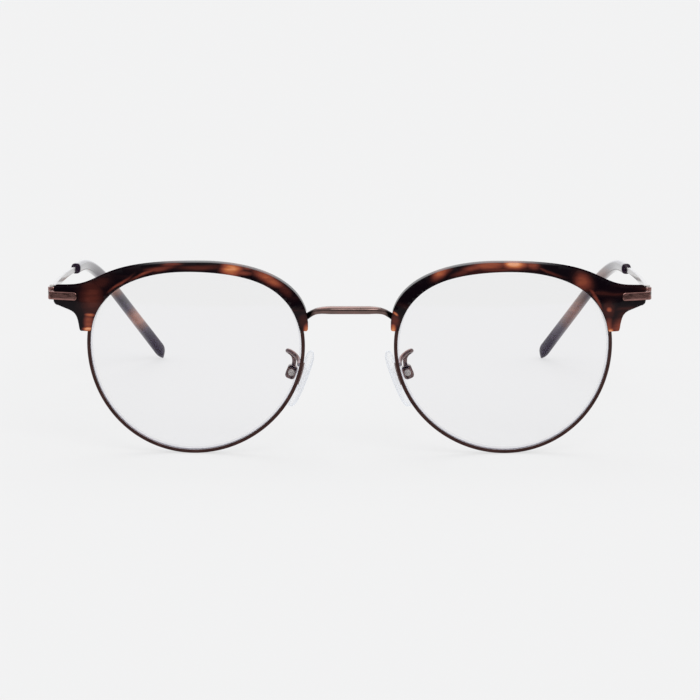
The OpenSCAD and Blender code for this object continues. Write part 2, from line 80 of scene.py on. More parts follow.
class Value:
    """One socket of a finish, so that its pattern is written as plain arithmetic."""

    def __init__(self, finish, socket):
        self.finish = finish
        self.socket = socket

    def maths(self, operation, first, second):
        return self.finish.node("ShaderNodeMath", {"operation": operation}, {0: first, 1: second})

    def __add__(self, other):
        return self.maths("ADD", self, other)

    def __sub__(self, other):
        return self.maths("SUBTRACT", self, other)

    def __rsub__(self, other):
        return self.maths("SUBTRACT", other, self)

    def __mul__(self, other):
        return self.maths("MULTIPLY", self, other)

    def highest(self, other):
        return self.maths("MAXIMUM", self, other)

    def smooth(self, low, high, to_low=0.0, to_high=1.0):
        """The value run smoothly from one range to another, and held at its ends."""
        return self.finish.node("ShaderNodeMapRange", {"interpolation_type": "SMOOTHSTEP"}, {
            "Value": self, "From Min": low, "From Max": high, "To Min": to_low, "To Max": to_high})


class Finish:
    """The nodes of one material or sky, and the one way in which they are added."""

    def __init__(self, owner):
        owner.use_nodes = True
        self.owner = owner
        self.tree = owner.node_tree
        self.tree.nodes.clear()

    def node(self, kind, settings=None, inputs=None, out=0):
        node = self.tree.nodes.new(kind)
        for key, value in (settings or {}).items():
            if key == "stops":
                ramp = node.color_ramp.elements
                while len(ramp) < len(value):
                    ramp.new(0.5)
                for element, (position, colour) in zip(ramp, value):
                    element.position = position
                    element.color = (*colour, 1)
            else:
                setattr(node, key, value)
        for key, value in (inputs or {}).items():
            if isinstance(value, Value):
                self.tree.links.new(value.socket, node.inputs[key])
            else:
                node.inputs[key].default_value = value
        return Value(self, node.outputs[out] if node.outputs else None)

    def spot(self):
        return self.node("ShaderNodeTexCoord", out="Object")

    def part(self, vector, axis):
        return self.node("ShaderNodeSeparateXYZ", None, {"Vector": vector}, axis)

    def aside(self, spot):
        """How far a spot is from the middle of the glasses, to either side."""
        return self.part(self.vectors("ABSOLUTE", spot, spot), "X")

    def vectors(self, operation, first, second, out=0):
        return self.node("ShaderNodeVectorMath", {"operation": operation}, {0: first, 1: second}, out)

    def noise(self, vector, scale=1.0, detail=2.0, roughness=0.5, distortion=0.0, out="Fac"):
        return self.node("ShaderNodeTexNoise", None, {
            "Vector": vector, "Scale": scale, "Detail": detail, "Roughness": roughness,
            "Distortion": distortion}, out)

    def ramp(self, value, *stops):
        return self.node("ShaderNodeValToRGB", {"stops": stops}, {"Fac": value})

    def bump(self, height, strength, distance):
        return self.node("ShaderNodeBump", None, {
            "Height": height, "Strength": strength, "Distance": distance})

    def surface(self, **sockets):
        """Ends the tree in one Principled shader. Underscores stand for the spaces in its sockets' names."""
        shader = self.node("ShaderNodeBsdfPrincipled", None, {
            key.replace("_", " "): value for key, value in sockets.items()})
        self.node("ShaderNodeOutputMaterial", None, {"Surface": shader})
        return self.owner


def finish_named(name):
    return Finish(bpy.data.materials.new(name))


table_top = bmesh.new()
bmesh.ops.create_grid(table_top, x_segments=8, y_segments=8, size=6)
table_mesh = bpy.data.meshes.new("table")
table_top.to_mesh(table_mesh)
table_top.free()
table = bpy.data.objects.new("table", table_mesh)
bpy.context.scene.collection.objects.link(table)
glow_share = 0.72
white_table = finish_named("white_table")
seen = white_table.node("ShaderNodeLightPath", out="Is Camera Ray").highest(
    white_table.node("ShaderNodeLightPath", out="Is Glossy Ray")).highest(
    white_table.node("ShaderNodeLightPath", out="Is Transmission Ray"))
matt = white_table.node("ShaderNodeBsdfDiffuse", None, {"Color": (0.655, 0.655, 0.655, 1)})
glow = white_table.node("ShaderNodeEmission", None, {"Color": (0.889, 0.889, 0.889, 1), "Strength": 1.0})
white_table.node("ShaderNodeOutputMaterial", None, {"Surface": white_table.node(
    "ShaderNodeMixShader", None, {0: seen * glow_share, 1: matt, 2: glow})})
table_mesh.materials.append(white_table.owner)

bpy.context.scene.world = bpy.data.worlds.new("sky")
sky = Finish(bpy.context.scene.world)
direction = sky.node("ShaderNodeTexCoord", out="Generated")
height = sky.part(direction, "Z")
behind = sky.part(direction, "Y").smooth(-0.3, 0.5)
strength = (height.smooth(0.0, 0.9, 0.8, 0.9) + behind * height.smooth(0.2, 0.7, 0.3, 0.0)
    - (1 - behind) * height.smooth(0.04, 0.34, 0.74, 0.0))
sky_light = sky.node("ShaderNodeBackground", None, {"Color": (0.975, 0.98, 1.0, 1), "Strength": strength})
sky.node("ShaderNodeOutputWorld", None, {"Surface": sky_light})

for name, power, spread, turn in (
    ("lamp_behind", 0.9, 42, (-40, 0, 4)), ("lamp_in_front", 1.3, 36, (50, 0, 18))):
    lamp = bpy.data.objects.new(name, bpy.data.lights.new(name, "SUN"))
    bpy.context.scene.collection.objects.link(lamp)
    lamp.data.energy = power
    lamp.data.angle = math.radians(spread)
    lamp.rotation_euler = [math.radians(a) for a in turn]

# The lenses
# Two clear panes, moulded to one shallow ball-shaped curve and edged with a ridge that sits in the
# rim's groove. A thin coating leaves a faint violet shine, and the edge is polished but not clear.

eye_x = 36
round_r = 24.65
brow_line_h = 20
brow_line_tilt = -2
corner_blend = 3.5
corner_swell = 0.2
corner_swell_at = 56
curve_r = 132.5
face_form = math.radians(5)
rim_w = 0.84
rim_d = 2.0


def lens_reach(a):
    straight = max(math.cos(math.radians(a - 90 - brow_line_tilt)), 0) / brow_line_h
    joined = (round_r ** -corner_blend + straight ** corner_blend) ** (-1 / corner_blend)
    return joined + corner_swell * math.cos(math.radians(3 * (a - corner_swell_at)))


def lens_point(a):
    return lens_reach(a) * Vector((math.cos(math.radians(a)), math.sin(math.radians(a))))


lens_low = min(lens_point(a / 2)[1] for a in range(720)) - rim_w
eye = Vector((eye_x, -lens_low))


def lens_edge(a, out=0.0):
    """A point of the lens outline in the front view, moved outwards, with x towards the temple."""
    ahead = (lens_point(a + 0.5) - lens_point(a - 0.5)).normalized()
    return eye + lens_point(a) + out * Vector((ahead[1], -ahead[0]))


ball = Vector((eye_x - curve_r * math.sin(face_form), curve_r * math.cos(face_form), eye[1]))


def on_front(x, z, depth=0.0):
    """A spot on the curved sheet that the whole front follows, or behind it."""
    reach = curve_r ** 2 - (x - ball[0]) ** 2 - (z - ball[2]) ** 2
    return Vector((x, ball[1] - math.sqrt(reach) + depth, z))


def loft(bm, rings):
    """Skins a row of closed rings of points, and closes its two ends."""
    loops = []
    for points in rings:
        verts = bmesh.ops.create_circle(bm, segments=len(points), radius=1)["verts"]
        for vert, point in zip(verts, points):
            vert.co = point
        loops.append([bm.edges.get((verts[i - 1], verts[i])) for i in range(len(verts))])
    for first, second in zip(loops, loops[1:]):
        bmesh.ops.bridge_loops(bm, edges=first + second)
    for end in (loops[0], loops[-1]):
        bmesh.ops.contextual_create(bm, geom=end)


def settle(bm, name, sign, body, slot, finishes, *nodes, sharp=35):
    """Ends a piece that was drawn for the wearer's left: turns it over for the right, brings it to its
    place and size, smooths it between its sharp edges and hangs it on its body."""
    bmesh.ops.translate(bm, vec=(0, table_shift, 0), verts=bm.verts)
    bmesh.ops.scale(bm, vec=(sign * mm, mm, mm), verts=bm.verts)
    bmesh.ops.remove_doubles(bm, verts=bm.verts, dist=1e-7)
    bmesh.ops.recalc_face_normals(bm, faces=bm.faces)
    mesh = bpy.data.meshes.new(name)
    bm.to_mesh(mesh)
    bm.free()
    mesh.shade_smooth()
    mesh.set_sharp_from_angle(angle=math.radians(sharp))
    for finish in finishes:
        mesh.materials.append(finish)
    piece = bpy.data.objects.new(name, mesh)
    bpy.context.scene.collection.objects.link(piece)
    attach(piece, body)
    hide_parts(*nodes)


sides = (("left", 1), ("right", -1))
glass = finish_named("coated_lens")
glance = glass.node("ShaderNodeFresnel", None, {"IOR": 1.32})
lens_clear = glass.surface(
    Base_Color=(0.23, 0.21, 0.36, 1), Metallic=1.0, Roughness=0.03,
    Alpha=glance.smooth(0.25, 1.0, 0.03, 0.2))
edge = finish_named("lens_edge")
lens_frosted = edge.surface(
    Base_Color=edge.ramp(edge.noise(edge.spot(), 200), (0.3, (0.52, 0.52, 0.62)), (0.7, (0.66, 0.66, 0.76))),
    Roughness=0.2, Alpha=0.2)

lens_t = 1.8
clear_to = -0.45
shoulder = -0.05
ridge = 0.35
frosted_w = 0.35
lens_turns = [i * 3 for i in range(120)]


def pane_rings(depth):
    """Rings on one face of a lens, from close to its middle out to its shoulder."""
    inner = [[on_front(*eye.lerp(lens_edge(a, clear_to), share), depth) for a in lens_turns]
        for share in (0.04, 0.2, 0.4, 0.6, 0.8, 0.93)]
    outer = [[on_front(*lens_edge(a, out), depth) for a in lens_turns] for out in (clear_to, shoulder)]
    return inner + outer


for side, sign in sides:
    bm = bmesh.new()
    ridge_rings = [[on_front(*lens_edge(a, out), depth) for a in lens_turns] for out, depth in (
        (shoulder, -0.4), (ridge, -0.08), (ridge, 0.08), (shoulder, 0.4))]
    loft(bm, pane_rings(-lens_t / 2) + ridge_rings + pane_rings(lens_t / 2)[::-1])
    for face in bm.faces:
        if len(face.verts) == 4:
            middle = face.calc_center_median()
            off = Vector((middle[0], middle[2])) - eye
            turn = math.degrees(math.atan2(off[1], off[0]))
            face.material_index = int(off.length > lens_reach(turn) - frosted_w)
    settle(bm, f"lens_pane_{side}", sign, "front", "lens", (lens_clear, lens_frosted), f"lens_{side}")

# The eyewires
# One round-backed wire a side, bent to the lens with a V groove inside it and cut at the temple side,
# where a two-part barrel and a screw draw it together. A tab brazed behind it takes the browline's screw.

split_at = 11.0
split_gap = 0.24
tab_at = 155.0
tab_out = 1.75
tab_spot = lens_edge(tab_at, tab_out)
tab_r = 0.85
tab_t = 0.5
brow_back = 1.4

wire_metal = finish_named("antique_brown_metal")
spot = wire_metal.spot()
cloud = wire_metal.noise(spot, 420, 3)
grain = wire_metal.noise(wire_metal.vectors("MULTIPLY", spot, (900, 900, 5200)), 1.0, 2)
antique = wire_metal.surface(
    Base_Color=wire_metal.ramp(cloud * 0.75 + grain * 0.25,
        (0.3, (0.030, 0.012, 0.011)), (0.52, (0.046, 0.020, 0.018)), (0.75, (0.075, 0.036, 0.032))),
    Metallic=1.0, Roughness=cloud.smooth(0.3, 0.7, 0.11, 0.19),
    Coat_Weight=wire_metal.aside(spot).smooth(60 * mm, 64 * mm, 0.1, 0.8), Coat_Roughness=0.04,
    Normal=wire_metal.bump(grain, 0.05, 0.00002))

rim_section = (
    (0.10, -1.0), (0.56, -1.0), (0.70, -0.95), (0.80, -0.84), (0.84, -0.68), (0.84, 0.68), (0.80, 0.84),
    (0.70, 0.95), (0.56, 1.0), (0.10, 1.0), (0.03, 0.97), (0.0, 0.90), (0.0, 0.46), (0.4, 0.1),
    (0.4, -0.1), (0.0, -0.46), (0.0, -0.90), (0.03, -0.97))


def outline_loop(bm, outline, depth):
    """A flat closed line of (x, z) points at one depth, as a face."""
    verts = bmesh.ops.create_circle(bm, segments=len(outline), radius=1)["verts"]
    for vert, (x, z) in zip(verts, outline):
        vert.co = (x, depth, z)
    loop = [bm.edges.get((verts[i - 1], verts[i])) for i in range(len(verts))]
    return bmesh.ops.contextual_create(bm, geom=loop)["faces"]


def edges_at(bm, depth):
    return [e for e in bm.edges if all(abs(v.co.y - depth) < 1e-5 for v in e.verts)]


def rounded(bm, edges, size, steps=3):
    bmesh.ops.bevel(bm, geom=edges, offset=size, offset_type="OFFSET", segments=steps, profile=0.5,
        affect="EDGES", clamp_overlap=True, material=-1)


def plate(outline, front, back, front_edge=0.0, back_edge=0.0, steps=3):
    """A flat plate cut to an outline, with its front and back edges rounded."""
    bm = bmesh.new()
    face = outline_loop(bm, outline, front)
    grown = bmesh.ops.extrude_face_region(bm, geom=face)["geom"]
    verts = [g for g in grown if isinstance(g, bmesh.types.BMVert)]
    bmesh.ops.translate(bm, vec=(0, back - front, 0), verts=verts)
    for depth, size in ((front, front_edge), (back, back_edge)):
        if size:
            rounded(bm, edges_at(bm, depth), size, steps)
    return bm


# How far one half of the front reaches, as the number of the axis, from and to: across it and up it.
front_spans = ((0, 8, 72), (2, 0, 46))


def follow_front(bm, cell=1.0):
    """Divides a flat plate into small cells and bends it to the front's curve."""
    bmesh.ops.triangulate(bm, faces=[f for f in bm.faces if len(f.verts) > 4], ngon_method="BEAUTY")
    for axis, low, high in front_spans:
        for i in range(int((high - low) / cell)):
            at = Vector((0, 0, 0))
            at[axis] = low + (i + 0.37) * cell
            turn = Vector((0, 0, 0))
            turn[axis] = 1
            bmesh.ops.bisect_plane(bm, geom=bm.verts[:] + bm.edges[:] + bm.faces[:], dist=1e-4,
                plane_co=at, plane_no=turn)
    for vert in bm.verts:
        vert.co = on_front(vert.co.x, vert.co.z, vert.co.y)


def join(bm, other):
    """Adds one drawing to another as it is."""
    mesh = bpy.data.meshes.new("part")
    other.to_mesh(mesh)
    other.free()
    bm.from_mesh(mesh)
    bpy.data.meshes.remove(mesh)


def arc(centre, r, start, end, steps):
    return [Vector(centre) + r * Vector((math.cos(math.radians(a)), math.sin(math.radians(a))))
        for a in (start + (end - start) * i / steps for i in range(steps + 1))]


def rim_turn(a):
    out = lens_edge(a, 1) - lens_edge(a)
    return math.degrees(math.atan2(out[1], out[0]))


for side, sign in sides:
    bm = bmesh.new()
    half_gap = math.degrees(split_gap / 2 / lens_reach(split_at))
    stations = [split_at + half_gap + (360 - 2 * half_gap) * i / 180 for i in range(181)]
    loft(bm, [[on_front(*lens_edge(a, out), depth) for out, depth in rim_section] for a in stations])
    foot = [lens_edge(tab_at + step, 0.3) for step in (2.3, 1.1, 0, -1.1, -2.3)]
    head = arc(tab_spot, tab_r, rim_turn(tab_at) - 90, rim_turn(tab_at) + 90, 14)
    tab = plate(foot + head, brow_back + 0.03, brow_back + 0.03 + tab_t, 0.0, 0.1)
    outer = [lens_edge(tab_at + step, rim_w - 0.05) for step in (-2.3, 0, 2.3)]
    riser = plate(foot + outer, 0.9, brow_back + 0.2)
    for part in (tab, riser):
        follow_front(part)
        join(bm, part)
    settle(bm, f"eyewire_{side}", sign, "front", "dark_metal", (antique,), f"rim_{side}")

# The bridge
# One bar of rose-brown metal from rim to rim, level in the middle, with its top sloped down to the
# front. Its ends are drawn down and back, painted dark as painted shade, and brazed to the rims inside
# the browlines.

bridge_z = 34.2
bridge_h = 1.8
bridge_d = 1.7
bridge_front = -0.9
bridge_slimming = 0.22

rose = finish_named("rose_brown_metal")
spot = rose.spot()
cloud = rose.noise(spot, 300, 2)
brushed = rose.noise(rose.vectors("MULTIPLY", spot, (120, 1500, 1500)), 1.0, 2, 0.5)
aside = rose.aside(spot)
# Painted shade: the bar's colour is darkened where its ends are drawn down behind the browlines.
painted_shade_at_ends = (aside.smooth(7.9 * mm, 9.2 * mm) * aside.smooth(13 * mm, 14 * mm, 1.0, 0.0)
    * rose.part(spot, "Z").smooth(27 * mm, 28 * mm))
paler = aside.smooth(15 * mm, 20 * mm, 0.45, 1.0)
rose_metal = rose.surface(
    Base_Color=rose.ramp((cloud * 0.4 + brushed * 0.6) * (1 - painted_shade_at_ends) * paler,
        (0.0, (0.008, 0.005, 0.005)), (0.22, (0.15, 0.100, 0.090)),
        (0.35, (0.22, 0.116, 0.104)), (0.5, (0.27, 0.140, 0.126)), (0.7, (0.33, 0.176, 0.156))),
    Metallic=1.0, Roughness=brushed.smooth(0.3, 0.7, 0.10, 0.18),
    Normal=rose.bump(brushed, 0.08, 0.00003))


def bezier(points, steps):
    """Points on a cubic curve after its first one."""
    a, b, c, d = (Vector(p) for p in points)
    run = []
    for i in range(1, steps + 1):
        t = i / steps
        run.append(a * (1 - t) ** 3 + b * 3 * t * (1 - t) ** 2 + c * 3 * t * t * (1 - t) + d * t ** 3)
    return run


def sweep(bm, path, section, up):
    """Carries a section along a path; the section may be a list of points or a function of the step."""
    rings = []
    for i, point in enumerate(path):
        along = (path[min(i + 1, len(path) - 1)] - path[max(i - 1, 0)]).normalized()
        across = along.cross(Vector(up)).normalized()
        rise = across.cross(along)
        shape = section(i) if callable(section) else section
        rings.append([point + x * across + z * rise for x, z in shape])
    loft(bm, rings)


bridge_level = 4.4
bridge_half = [Vector((x, bridge_front, bridge_z)) for x in (0, 1.2, 2.5, 3.5, bridge_level)] + bezier((
    (bridge_level, bridge_front, bridge_z), (7.6, bridge_front, bridge_z), (8.6, 0.4, bridge_z - 0.2),
    (11.7, 0.9, bridge_z - 3.4)), 22)
bridge_path = [Vector((-p[0], p[1], p[2])) for p in bridge_half[:0:-1]] + bridge_half
bridge_section = [(x * bridge_d / 2, z * bridge_h / 2) for x, z in (
    (1.0, -0.3), (1.0, 0.0), (0.96, 0.25), (0.9, 0.45), (0.82, 0.55), (0.45, 0.74), (0.0, 0.93), (-0.35, 1.0),
    (-0.66, 0.93), (-0.86, 0.76), (-0.97, 0.5), (-1.0, 0.25), (-1.0, -0.25), (-0.96, -0.55), (-0.82, -0.8),
    (-0.5, -0.97), (0.0, -1.0), (0.5, -0.98), (0.76, -0.86), (0.93, -0.62))]


def bridge_shape(i):
    """The bar's section at one step of its path, drawn down towards the ends."""
    reach = abs(bridge_path[i][0])
    slim = 1 - bridge_slimming * min(max((reach - 4.5) / 3.5, 0), 1)
    return [(x * slim, z * slim) for x, z in bridge_section]


bm = bmesh.new()
sweep(bm, bridge_path, bridge_shape, (0, 0, 1))
settle(bm, "bridge_bar", 1, "front", "rose_metal", (rose_metal,), "bridge")

# The browlines
# Each is milled from one slab of tortoise acetate, thermoformed to the front's curve and tumbled until
# its edges shine. It is channelled behind for the rim, slotted for the bridge's end and cut away
# round the closing barrel, and it is held by the tab's screw and by the two behind the lug.

brow_top = 45.3
brow_front = 2.3
brow_inner_x = 9.6
lug_end_x = 69.1
lug_top = 38.9
lug_low = 34.5
leg_outer_x = 62.9
leg_nasal_at = 171
leg_temporal_at = 7.5
brow_lap = 0.25
hinge = Vector((69.6, hinge_back, 36.7))
plaque_l = 6.6
plaque_h = 1.9
plaque_proud = 0.35
plaque_sunk = 0.5
bar_end_x = hinge[0] + 0.6
through = 4

# The clouds are ellipses in the front view: their middle across and up, their half length and half
# width, their turn in degrees and how bright they are.
amber_clouds = (
    (-60.0, 36.4, 3.2, 5.0, 0, 0.35), (-57.8, 40.0, 3.4, 1.8, 30, 0.24),
    (-60.8, 30.7, 1.2, 2.6, 0, 0.60), (-60.9, 29.1, 1.3, 0.7, 0, 1.00), (-60.6, 32.5, 1.2, 0.5, 0, 0.78),
    (-43.7, 43.8, 3.9, 0.7, 8, 0.52), (-41.4, 44.8, 2.8, 0.6, 2, 0.46), (-34.5, 44.1, 6.9, 0.7, 1, 0.35),
    (-27.1, 43.8, 3.0, 1.7, 0, 0.86), (-22.9, 44.3, 2.1, 0.9, -5, 0.52), (-18.8, 41.7, 4.1, 1.2, -30, 0.74),
    (-24.8, 43.1, 3.5, 0.6, -5, 0.58), (-15.1, 38.9, 2.1, 1.2, -45, 0.34), (-9.8, 29.5, 0.8, 2.1, 0, 0.82),
    (-10.5, 31.6, 1.4, 2.1, 0, 0.27), (21.0, 43.0, 3.0, 1.3, 33, 0.68), (25.9, 43.1, 3.0, 0.8, 18, 0.38),
    (32.3, 44.7, 5.1, 1.1, 3, 0.64), (38.2, 44.8, 3.0, 1.2, 0, 1.00), (42.2, 44.5, 2.1, 1.1, -8, 0.54),
    (34.6, 43.7, 7.4, 0.5, 0, 0.42), (54.2, 40.7, 2.8, 2.0, -42, 0.58), (60.6, 34.0, 0.7, 0.7, 0, 0.74),
    (60.4, 33.9, 1.8, 2.4, 0, 0.31), (60.2, 29.7, 1.0, 2.6, 0, 0.62), (60.6, 28.6, 0.9, 1.1, 0, 1.00),
    (10.5, 33.4, 1.0, 0.4, -35, 0.92), (9.9, 29.8, 0.8, 1.4, 0, 0.98), (10.4, 31.8, 1.5, 2.0, 0, 0.40),
    (-63.4, 24.5, 3.6, 3.6, 0, 0.98), (-57.3, 13.5, 3.0, 3.8, 0, 0.90), (58.5, 17.0, 4.0, 7.0, 0, 0.76),
    (64.0, 29.0, 4.0, 3.0, 0, 0.62),
    (-53.3, 40.0, 3.9, 0.4, 38, 0.50), (-47.6, 42.5, 4.4, 0.4, 22, 0.52), (57.2, 36.5, 3.9, 0.5, -55, 0.50),
    (28.9, 44.1, 3.7, 0.9, 8, 0.54), (46.1, 43.1, 4.6, 0.4, -20, 0.36))
red_dyes = ((0.0, (0.003, 0.0012, 0.0026)), (0.15, (0.010, 0.0034, 0.0042)), (0.3, (0.042, 0.010, 0.008)),
    (0.5, (0.13, 0.029, 0.019)), (0.7, (0.27, 0.066, 0.032)), (0.86, (0.49, 0.155, 0.056)),
    (1.0, (0.70, 0.32, 0.18)))
# The tips' ramp: brown and amber tortoise, with its darks painted violet as a painted sheen.
violet_dyes_and_painted_sheen = ((0.2, (0.010, 0.0035, 0.015)), (0.4, (0.034, 0.015, 0.038)), (0.6, (0.090, 0.032, 0.028)),
    (0.8, (0.155, 0.056, 0.040)), (1.0, (0.30, 0.115, 0.072)))


def tortoise(name, dyes, depth, least, shine, coat=(0, 1, 0, 0)):
    """Tortoise acetate: clear stock nearly black with dye, with red and amber clouds drawn out along it.
    The coat is a polish that goes from one weight to another between two distances from the middle."""
    acetate = finish_named(name)
    spot = acetate.spot()
    drift = acetate.noise(spot, 160, 2, 0.55, out="Color")
    wander = acetate.vectors("ADD", spot, acetate.vectors("MULTIPLY",
        acetate.vectors("SUBTRACT", drift, (0.5, 0.5, 0.5)), (0.0024, 0.0024, 0.0008)))
    streaks = acetate.noise(acetate.vectors("MULTIPLY", wander, (60, 40, 330)), 1.0, 2.5, 0.55, 0.4)
    lights = streaks.smooth(0.50, 0.80, 0.0, 0.30)
    for x, z, long, wide, turn, strength in amber_clouds:
        local = acetate.node("ShaderNodeMapping", {"vector_type": "TEXTURE"}, {
            "Vector": wander, "Location": (x * mm, 0, z * mm), "Rotation": (0, math.radians(-turn), 0),
            "Scale": (long * mm, 1, wide * mm)})
        reach = acetate.vectors("LENGTH", local, (0, 0, 0), "Value")
        lights = lights.highest(reach.smooth(0.2, 1.6, strength, 0.0))
    veins = acetate.noise(acetate.vectors("MULTIPLY", wander, (160, 120, 900)), 1.0, 2, 0.5)
    lights = lights * veins.smooth(0.25, 0.75, 0.86 * depth, 1.1 * depth) + least
    near, far, weight, far_weight = coat
    return acetate.surface(
        Base_Color=acetate.ramp(lights, *dyes),
        Roughness=acetate.noise(spot, 700, 3).smooth(0.3, 0.7, 0.04, 0.08),
        Specular_IOR_Level=shine,
        Coat_Weight=acetate.aside(spot).smooth(near * mm, far * mm, weight, far_weight),
        Coat_Roughness=0.05,
        Normal=acetate.bump(acetate.noise(spot, 260, 2), 0.03, 0.0001))


tortoise_acetate = tortoise("tortoise_acetate", red_dyes, 1.0, 0.0, 0.12)
# Painted shade: weaker clouds paint the browline's edges darker than its front.
acetate_edge_painted_shade = tortoise("acetate_edge_painted_shade", red_dyes, 0.6, 0.0, 0.0, (36, 51, 0.5, 0.0))
# Painted glow: the whole ramp is lifted, so the lower front edge over the glass is painted lighter.
acetate_painted_glow = tortoise("acetate_painted_glow", red_dyes, 0.7, 0.34, 0.02)
tip_acetate = tortoise("tip_acetate", violet_dyes_and_painted_sheen, 0.85, 0.24, 0.16, (53, 57, 0.02, 0.95))


def brow_edge(a):
    """The browline's edge along the lens, which laps a little over the glass between the legs."""
    return lens_edge(a, -brow_lap * min(1, (leg_nasal_at - a) / 20, (a - leg_temporal_at) / 20))


def leg_end(start, end, r, steps=8):
    """The square-cut end of a leg, from one side of it to the other, with its corners rounded."""
    low = min(start[1], end[1])
    return (arc((start[0] + r, low + r), r, 180, 270, steps)
        + arc((end[0] - r, low + r), r, 270, 360, steps))


def flat(points):
    return [Vector((p[0], p[1])) for p in points]


lug_r = 0.7
lug_low_r = 1.1
brow_top_x = 34
leg_foot = lens_edge(leg_temporal_at)[1]
brow_outline = (
    [brow_edge(leg_nasal_at - i * 1.5) for i in range(int((leg_nasal_at - leg_temporal_at) / 1.5) + 1)]
    + leg_end(lens_edge(leg_temporal_at), (leg_outer_x, leg_foot), 0.42)
    + flat(bezier(((leg_outer_x, leg_foot), (63.5, 33.7), (64.2, 33), (68, lug_low)), 22))
    + arc((lug_end_x - lug_low_r, lug_low + lug_low_r), lug_low_r, -80, 0, 8)
    + arc((lug_end_x - lug_r, lug_top - lug_r), lug_r, 0, 90, 8)
    + flat(bezier(((67, lug_top), (56.9, lug_top), (60.3, brow_top), (brow_top_x, brow_top)), 56))
    + flat(bezier(((brow_top_x, brow_top), (20.3, brow_top), (brow_inner_x, 40.1), (brow_inner_x, 30.8)), 44))
    + leg_end((brow_inner_x, lens_edge(leg_nasal_at)[1]), lens_edge(leg_nasal_at), 0.5))


def stock_of(bm, name):
    """A drawing as an object of its own, for the milling only."""
    mesh = bpy.data.meshes.new(name)
    bmesh.ops.recalc_face_normals(bm, faces=bm.faces)
    bm.to_mesh(mesh)
    bm.free()
    stock = bpy.data.objects.new(name, mesh)
    bpy.context.scene.collection.objects.link(stock)
    return stock


def milled(bm, cutters):
    """Takes the shapes of the cutters away from a solid."""
    stock = stock_of(bm, "stock")
    tools = [stock_of(cutter, "cutter") for cutter in cutters]
    for tool in tools:
        cut = stock.modifiers.new("cut", "BOOLEAN")
        cut.operation, cut.solver, cut.object = "DIFFERENCE", "EXACT", tool
    done = bpy.data.meshes.new_from_object(stock.evaluated_get(bpy.context.evaluated_depsgraph_get()))
    bm = bmesh.new()
    bm.from_mesh(done)
    bpy.data.meshes.remove(done)
    for thing in tools + [stock]:
        mesh = thing.data
        bpy.data.objects.remove(thing)
        bpy.data.meshes.remove(mesh)
    return bm


def square_at_rim(a, out, low, high):
    """A rectangle on the rim: its two bounds outwards, and its two bounds along the rim."""
    turn = math.radians(rim_turn(a))
    outwards = Vector((math.cos(turn), math.sin(turn)))
    along = Vector((-outwards[1], outwards[0]))
    spot = lens_edge(a, rim_w)
    return [spot + x * outwards + z * along
        for x, z in ((out[0], low), (out[1], low), (out[1], high), (out[0], high))]


def slot_outline(path, half):
    """The front view of a slot along a path, so far to either side of it."""
    line = [Vector((p[0], p[2])) for p in path]
    left, right = [], []
    for i, point in enumerate(line):
        along = (line[min(i + 1, len(line) - 1)] - line[max(i - 1, 0)]).normalized()
        left.append(point + half * Vector((-along[1], along[0])))
        right.append(point - half * Vector((-along[1], along[0])))
    return left + right[::-1]


plaque_x = bar_end_x - plaque_l


def plaque_outline(spare=0.0):
    """The bar's front with a rounded inner end, with so much room round it."""
    corner = 0.62
    left, right = plaque_x - spare, bar_end_x + spare
    low, high = hinge[2] - plaque_h / 2 - spare, hinge[2] + plaque_h / 2 + spare
    return (arc((left + corner, high - corner), corner, 90, 180, 6)
        + arc((left + corner, low + corner), corner, 180, 270, 6)
        + [Vector((right, low)), Vector((right, high))])


channel_depth = -rim_d / 2 - 0.03
slot_from = 15
lock_pocket = ((-0.5, 1.65), -2.6, 2.2)
lock_depth = -0.95
hinge_seat = hinge[1] - 1.7
front_round = 0.4
back_round = 0.18
for side, sign in sides:
    brow = milled(plate(brow_outline, -brow_front, brow_back, front_round, back_round, 4), (
        plate([lens_edge(a * 2, rim_w + 0.03) for a in range(180)], channel_depth, through),
        plate(slot_outline(bridge_half[slot_from:], bridge_h / 2 + 0.2), channel_depth, through),
        plate(square_at_rim(split_at, *lock_pocket), lock_depth, through),
        plate(plaque_outline(0.03), -through, -brow_front + plaque_sunk)))
    follow_front(brow)
    for vert in brow.verts:
        if vert.co.x > lug_end_x - 6 and vert.co.y > hinge_seat:
            vert.co.y = hinge_seat
    bmesh.ops.recalc_face_normals(brow, faces=brow.faces)
    # The edges that don't face straight down have their own finish, painted darker as painted shade. The
    # front one over the glass is painted lighter, a painted glow.
    for face in brow.faces:
        middle = face.calc_center_median()
        over_lens = middle.z > leg_foot + 2 and 25 < middle.x < 58
        if abs(face.normal.y) < 0.8 and face.normal.z > -0.85:
            face.material_index = 1
        if -0.9 < face.normal.y < -0.2 and face.normal.z < -0.2 and over_lens:
            face.material_index = 2
    settle(brow, f"browline_{side}", sign, "front", "acetate", (tortoise_acetate, acetate_edge_painted_shade, acetate_painted_glow),
        f"brow_{side}")

# The end pieces
# A brushed bar is let into each lug, bent round its end and split into the two outer hinge knuckles.
# Two screws from behind hold it in the acetate.

bar_start_x = lug_end_x + 0.05
knuckle_r = 1.2
knuckle_h = 0.9
knuckle_low = 0.5 * knuckle_h + 0.06
knuckle_high = knuckle_low + knuckle_h


def block(low, high, size):
    """A block between two corners, with its edges rounded."""
    bm = bmesh.new()
    for vert in bmesh.ops.create_cube(bm, size=1)["verts"]:
        vert.co = [low[i] if vert.co[i] < 0 else high[i] for i in range(3)]
    rounded(bm, bm.edges[:], size, 2)
    return bm


def barrel(r, low, high, size):
    """A short upright round bar on the hinge's axis, with its two rims rounded."""
    bm = bmesh.new()
    bmesh.ops.create_cone(bm, cap_ends=True, segments=40, radius1=r, radius2=r, depth=high - low,
        matrix=Matrix.Translation(hinge + Vector((0, 0, (low + high) / 2))))
    rounded(bm, [e for f in bm.faces if len(f.verts) == 40 for e in f.edges], size, 2)
    return bm


